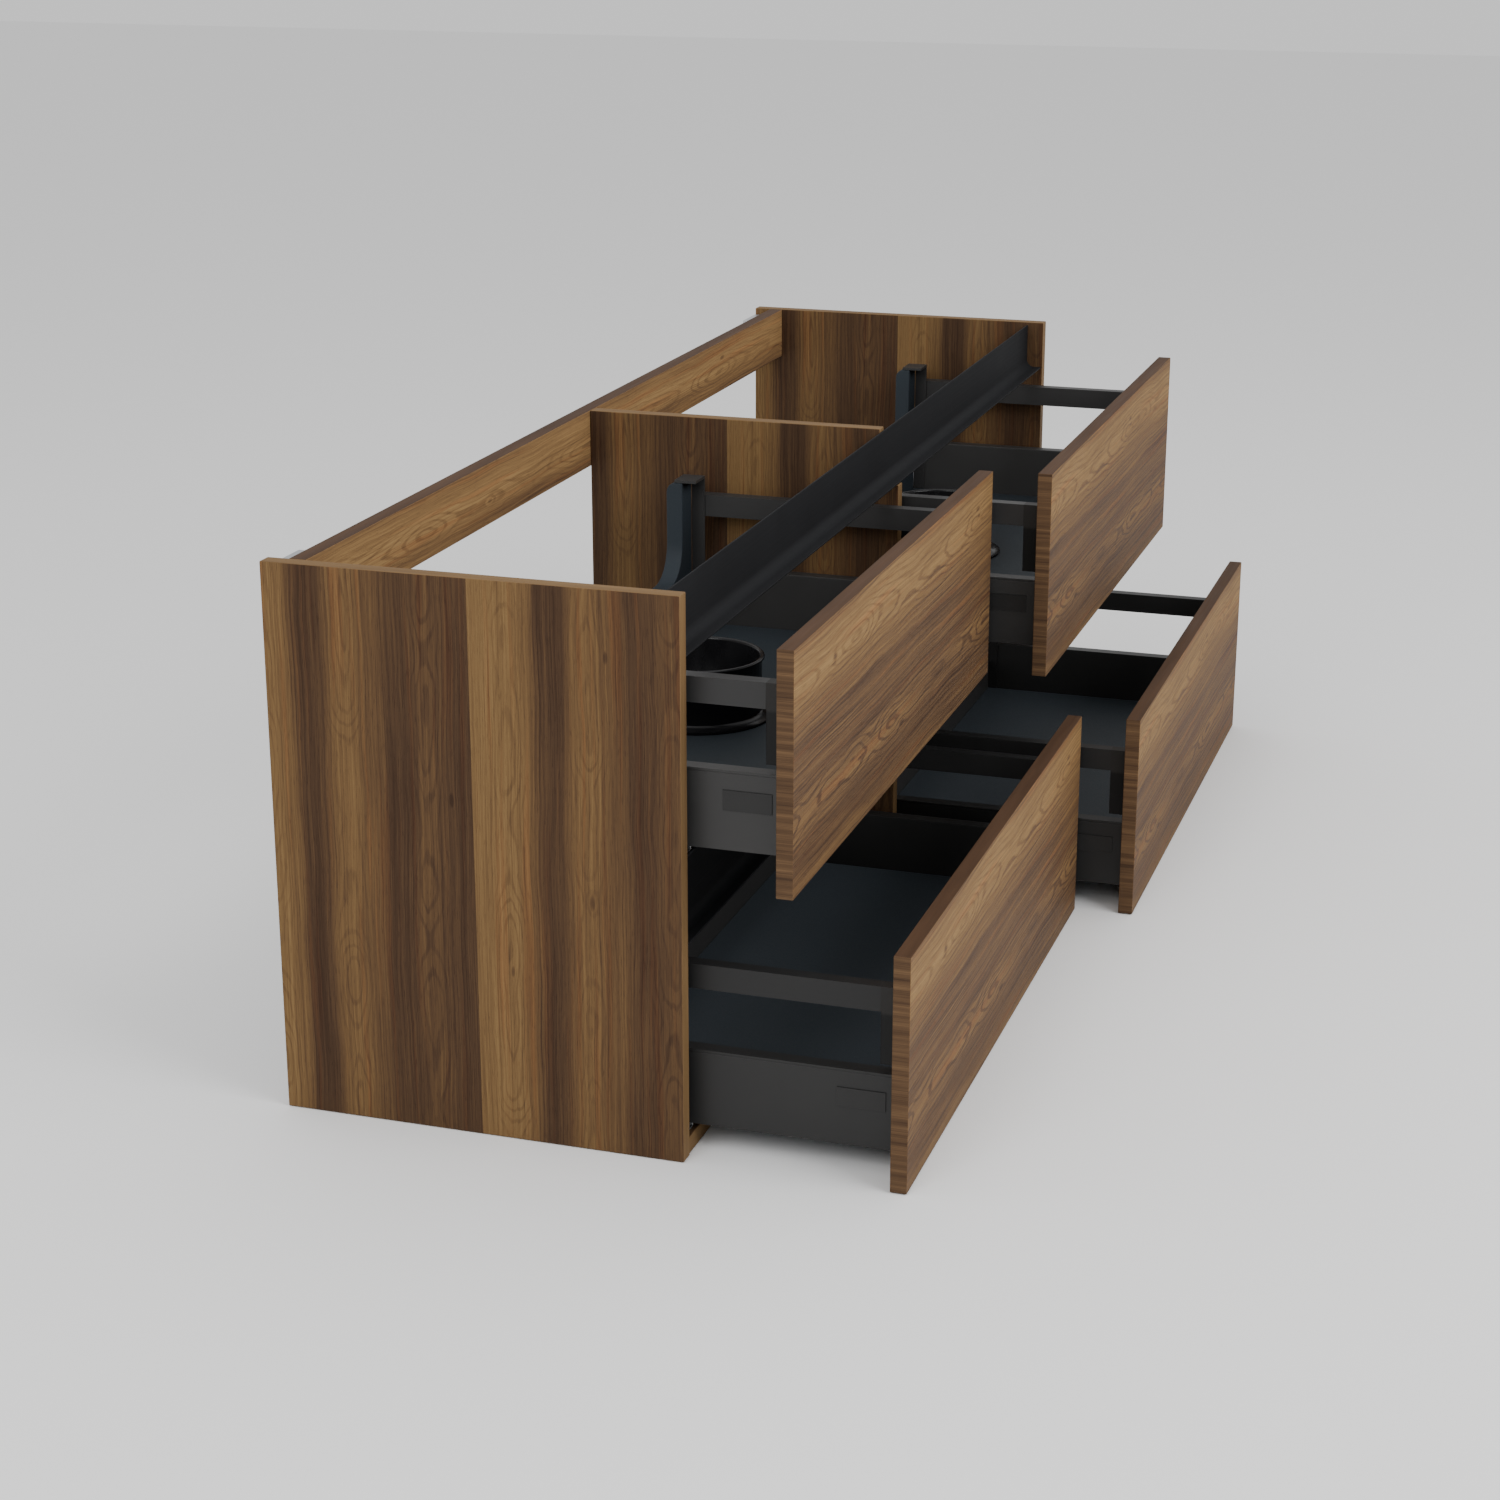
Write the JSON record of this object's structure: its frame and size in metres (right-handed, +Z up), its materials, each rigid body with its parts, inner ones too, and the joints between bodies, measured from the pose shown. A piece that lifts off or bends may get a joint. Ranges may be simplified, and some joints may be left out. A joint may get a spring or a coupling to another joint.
{
  "type": "bathroom vanity cabinet",
  "caption": "Wall-hung double vanity base in walnut board, open at the top, with steel-sided drawers on runners and black grip profiles.",
  "frame": {"origin": "centre of the carcass's underside", "axes": "+Z up, +X along the length towards the right-hand side seen from the front, drawers open towards -Y"},
  "size_m": [1.4, 0.6384, 0.507],
  "materials": {
    "walnut_board": "walnut decor board, satin, with visible vertical or horizontal grain",
    "black_aluminium": "matt black anodised grip profile",
    "anthracite_steel": "satin anthracite powder coat",
    "anthracite_aluminium": "satin anthracite coating",
    "blue_grey_board": "matt dark blue-grey coated board",
    "black_plastic": "glossy black moulding",
    "galvanised_steel": "zinc-plated sheet steel"
  },
  "bodies": {
    "carcass": {"side_panel_left": "walnut_board", "side_panel_right": "walnut_board", "centre_divider": "walnut_board", "bottom_panel": "walnut_board", "back_rail": "walnut_board", "top_grip_profile": "black_aluminium", "middle_grip_profile": "black_aluminium", "wall_hanger_left": "galvanised_steel", "wall_hanger_right": "galvanised_steel", "upper_left_cabinet_runner_left": "galvanised_steel", "upper_left_cabinet_runner_right": "galvanised_steel", "upper_right_cabinet_runner_left": "galvanised_steel", "upper_right_cabinet_runner_right": "galvanised_steel", "lower_left_cabinet_runner_left": "galvanised_steel", "lower_left_cabinet_runner_right": "galvanised_steel", "lower_right_cabinet_runner_left": "galvanised_steel", "lower_right_cabinet_runner_right": "galvanised_steel"},
    "upper_left_drawer": {"upper_left_front": "walnut_board", "upper_left_side_left": "anthracite_steel", "upper_left_side_right": "anthracite_steel", "upper_left_floor": "blue_grey_board", "upper_left_back": "blue_grey_board", "upper_left_gallery_left": "anthracite_aluminium", "upper_left_gallery_right": "anthracite_aluminium", "upper_left_cup": "black_plastic"},
    "upper_left_runners": {"upper_left_slide_left": "galvanised_steel", "upper_left_slide_right": "galvanised_steel"},
    "upper_right_drawer": {"upper_right_front": "walnut_board", "upper_right_side_left": "anthracite_steel", "upper_right_side_right": "anthracite_steel", "upper_right_floor": "blue_grey_board", "upper_right_back": "blue_grey_board", "upper_right_gallery_left": "anthracite_aluminium", "upper_right_gallery_right": "anthracite_aluminium", "upper_right_cup": "black_plastic"},
    "upper_right_runners": {"upper_right_slide_left": "galvanised_steel", "upper_right_slide_right": "galvanised_steel"},
    "lower_left_drawer": {"lower_left_front": "walnut_board", "lower_left_side_left": "anthracite_steel", "lower_left_side_right": "anthracite_steel", "lower_left_floor": "blue_grey_board", "lower_left_back": "anthracite_steel", "lower_left_gallery_left": "anthracite_aluminium", "lower_left_gallery_right": "anthracite_aluminium"},
    "lower_left_runners": {"lower_left_slide_left": "galvanised_steel", "lower_left_slide_right": "galvanised_steel"},
    "lower_right_drawer": {"lower_right_front": "walnut_board", "lower_right_side_left": "anthracite_steel", "lower_right_side_right": "anthracite_steel", "lower_right_floor": "blue_grey_board", "lower_right_back": "anthracite_steel", "lower_right_gallery_left": "anthracite_aluminium", "lower_right_gallery_right": "anthracite_aluminium"},
    "lower_right_runners": {"lower_right_slide_left": "galvanised_steel", "lower_right_slide_right": "galvanised_steel"}
  },
  "joints": [
    {"name": "upper_left_drawer_slide", "type": "slide", "parent": "carcass", "child": "upper_left_drawer", "axis": [0, -1, 0], "range_m": [-0.082, 0.1725]},
    {"name": "upper_left_runner_slide", "type": "slide", "parent": "carcass", "child": "upper_left_runners", "axis": [0, -1, 0], "range_m": [-0.0412, 0.08645]},
    {"name": "upper_right_drawer_slide", "type": "slide", "parent": "carcass", "child": "upper_right_drawer", "axis": [0, -1, 0], "range_m": [-0.1433, 0.1112]},
    {"name": "upper_right_runner_slide", "type": "slide", "parent": "carcass", "child": "upper_right_runners", "axis": [0, -1, 0], "range_m": [-0.07185, 0.0558]},
    {"name": "lower_left_drawer_slide", "type": "slide", "parent": "carcass", "child": "lower_left_drawer", "axis": [0, -1, 0], "range_m": [-0.1838, 0.0707]},
    {"name": "lower_left_runner_slide", "type": "slide", "parent": "carcass", "child": "lower_left_runners", "axis": [0, -1, 0], "range_m": [-0.0921, 0.03555]},
    {"name": "lower_right_drawer_slide", "type": "slide", "parent": "carcass", "child": "lower_right_drawer", "axis": [0, -1, 0], "range_m": [-0.2449, 0.0096]},
    {"name": "lower_right_runner_slide", "type": "slide", "parent": "carcass", "child": "lower_right_runners", "axis": [0, -1, 0], "range_m": [-0.12265, 0.005]}
  ],
  "couplings": [
    {"joint": "upper_left_runner_slide", "follows": "upper_left_drawer_slide", "ratio": 0.5},
    {"joint": "upper_right_runner_slide", "follows": "upper_right_drawer_slide", "ratio": 0.5},
    {"joint": "lower_left_runner_slide", "follows": "lower_left_drawer_slide", "ratio": 0.5},
    {"joint": "lower_right_runner_slide", "follows": "lower_right_drawer_slide", "ratio": 0.5}
  ]
}
